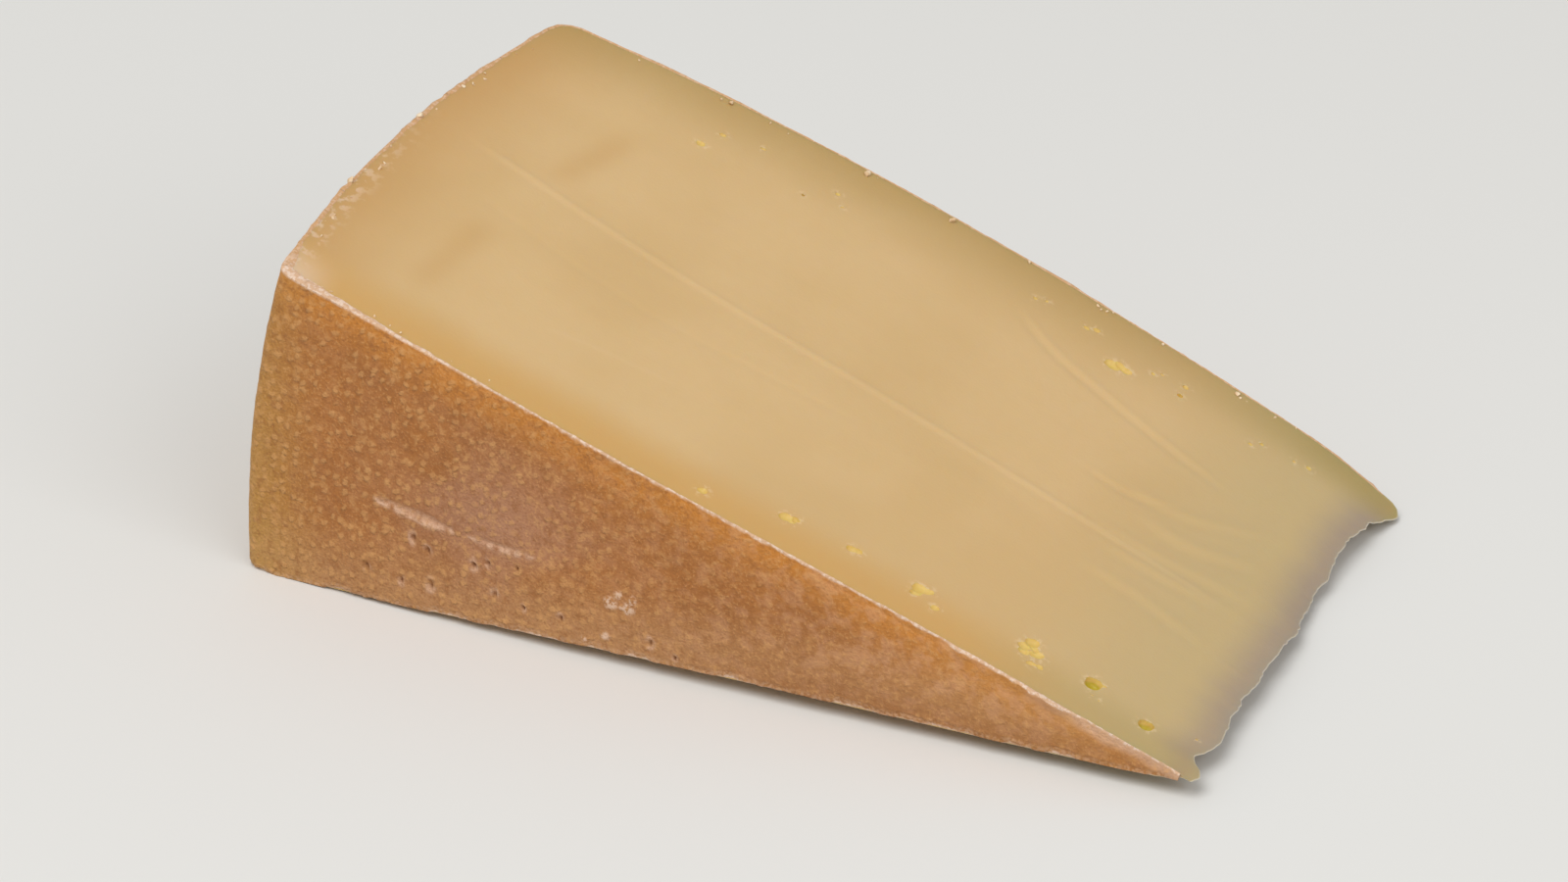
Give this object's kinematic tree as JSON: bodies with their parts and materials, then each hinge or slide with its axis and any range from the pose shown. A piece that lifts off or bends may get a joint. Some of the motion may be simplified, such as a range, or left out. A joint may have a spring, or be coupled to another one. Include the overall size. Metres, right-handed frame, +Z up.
{
  "type": "mountain cheese wedge",
  "caption": "Wedge cut from a round of mountain cheese, lying on one cut face: smooth pale paste with small eyes, firm brown rind and a thin ragged tip.",
  "frame": {"origin": "middle of the underside of the wedge's box, on the surface that it lies on", "axes": "+X from the rim to the thin tip, +Y from one flat of the wheel to the other, +Z up, away from the cut face that it lies on"},
  "size_m": [0.1522, 0.09, 0.0574],
  "materials": {
    "paste": "smooth waxy cut cheese paste, pale straw yellow, satin, slightly translucent, with faint knife ridges and small eyes",
    "rind": "dry firm washed rind, orange brown with pale round spots, pits and a crumbly pale edge",
    "crumb": "dry pale cheese crumbs and flakes"
  },
  "bodies": {
    "root": {"cheese_wedge": "paste"}
  },
  "joints": []
}
